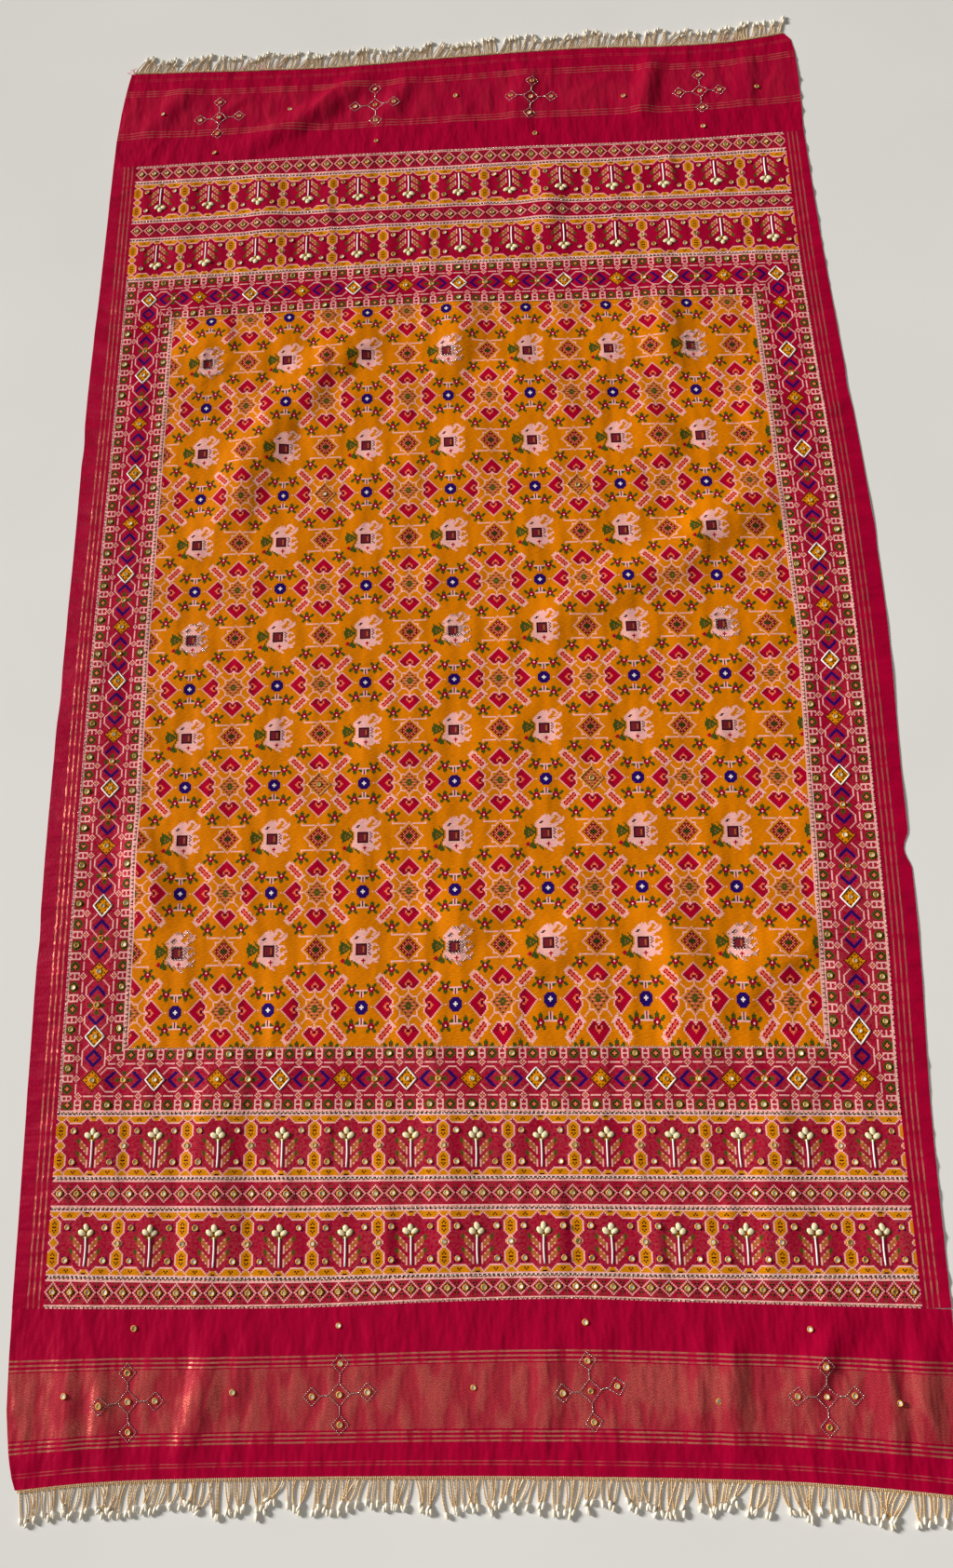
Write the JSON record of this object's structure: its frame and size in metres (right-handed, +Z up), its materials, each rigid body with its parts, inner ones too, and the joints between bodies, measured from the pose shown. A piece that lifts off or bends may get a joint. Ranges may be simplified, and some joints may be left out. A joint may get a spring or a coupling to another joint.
{
  "type": "patola dupatta",
  "caption": "Long rectangular silk dupatta laid flat, with a patola woven panel, plain side strips and end panels, and a beaded fringe at both ends.",
  "frame": {"origin": "on the floor under the middle of the whole piece, fringes included", "axes": "+Z up from the floor, +Y along the length to the far end of the picture, +X to the right"},
  "size_m": [1.1454, 2.1804, 0.01],
  "materials": {
    "patola_weave": "woven silk with an ochre ground, crimson frame and bands, low sheen",
    "crimson_silk": "plain crimson silk with rose-gold metallic stripes, soft sheen",
    "bead_fringe": "pale gold seed beads with pearl drops"
  },
  "bodies": {
    "root": {"patola_panel": "patola_weave", "side_strip_left": "crimson_silk", "side_strip_right": "crimson_silk", "end_panel_near": "crimson_silk", "end_panel_far": "crimson_silk", "fringe_near": "bead_fringe", "fringe_far": "bead_fringe"}
  },
  "joints": []
}
